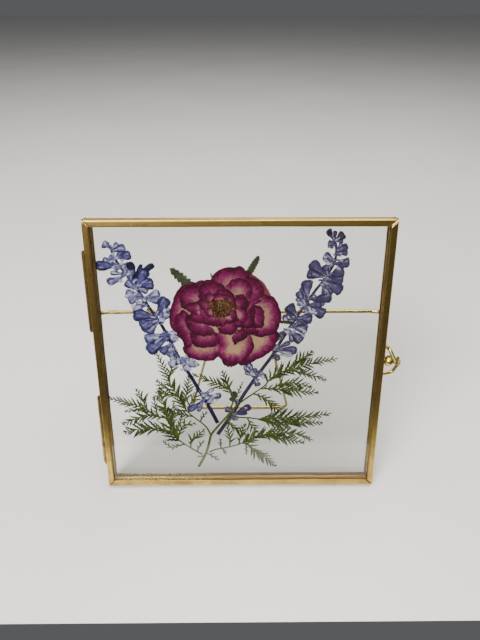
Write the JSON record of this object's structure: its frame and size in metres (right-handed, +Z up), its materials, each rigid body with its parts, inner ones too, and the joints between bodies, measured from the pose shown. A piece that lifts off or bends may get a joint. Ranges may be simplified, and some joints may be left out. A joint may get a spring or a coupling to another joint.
{
  "type": "pressed flower frame",
  "caption": "Square double-glass frame of folded brass channel, hinged and clasped, holding a pressed rose, salvia spikes and a fern leaf, leaning back on a hinged wire stand.",
  "frame": {"origin": "middle of the bounding box's footprint, on the ground the frame stands on", "axes": "+X to the right seen from the front, -Y towards the viewer, +Z up; the frame leans back 15 degrees"},
  "size_m": [0.163, 0.0648, 0.1466],
  "materials": {
    "brass": "satin, antiqued",
    "glass": "clear, polished",
    "petal": "matt dried petal",
    "stamens": "matt dried stamens",
    "sepal_green": "matt dried leaf",
    "fern_green": "matt dried leaf",
    "salvia_blue": "matt dried florets"
  },
  "bodies": {
    "rear_frame": {"clasp_loop": "brass", "crossbar": "brass", "fern_centre": "fern_green", "fern_lower_left": "fern_green", "fern_lower_right": "fern_green", "fern_middle_left": "fern_green", "fern_middle_right": "fern_green", "fern_stem": "fern_green", "fern_upper_right": "fern_green", "lower_hinge_pin": "brass", "lower_hinge_rear_leaf": "brass", "petal_back_bottom": "petal", "petal_back_top": "petal", "petal_back_upper_left": "petal", "petal_back_upper_right": "petal", "petal_bottom_centre": "petal", "petal_bottom_left": "petal", "petal_bottom_right": "petal", "petal_inner_bottom": "petal", "petal_inner_fold": "petal", "petal_inner_left": "petal", "petal_inner_right": "petal", "petal_inner_top": "petal", "petal_left_curl": "petal", "petal_left_outer": "petal", "petal_left_second": "petal", "petal_low_left": "petal", "petal_low_right_curl": "petal", "petal_mid_left": "petal", "petal_notched": "petal", "petal_right_fold": "petal", "petal_right_large": "petal", "petal_top_right": "petal", "petal_top_round": "petal", "petal_upper_left": "petal", "petal_upper_mid": "petal", "rear_bottom_rail": "brass", "rear_glass": "glass", "rear_left_rail": "brass", "rear_right_rail": "brass", "rear_top_rail": "brass", "rose_calyx": "sepal_green", "rose_heart": "stamens", "salvia_left": "salvia_blue", "salvia_right": "salvia_blue", "upper_hinge_pin": "brass", "upper_hinge_rear_leaf": "brass"},
    "front_frame": {"clasp_ball": "brass", "front_bottom_rail": "brass", "front_glass": "glass", "front_left_rail": "brass", "front_right_rail": "brass", "front_top_rail": "brass", "lower_hinge_front_leaf": "brass", "upper_hinge_front_leaf": "brass"},
    "stand": {"stand": "brass"}
  },
  "joints": [
    {"name": "door_hinge", "type": "hinge", "parent": "rear_frame", "child": "front_frame", "pos_m": [-0.08038, -0.02858, 0.00088], "axis": [0, -0.2588, -0.9659], "range_deg": [0, 180]},
    {"name": "stand_hinge", "type": "hinge", "parent": "rear_frame", "child": "stand", "pos_m": [-0.00393, 0.00377, 0.09688], "axis": [-1, 0, 0], "range_deg": [0, 31]}
  ]
}
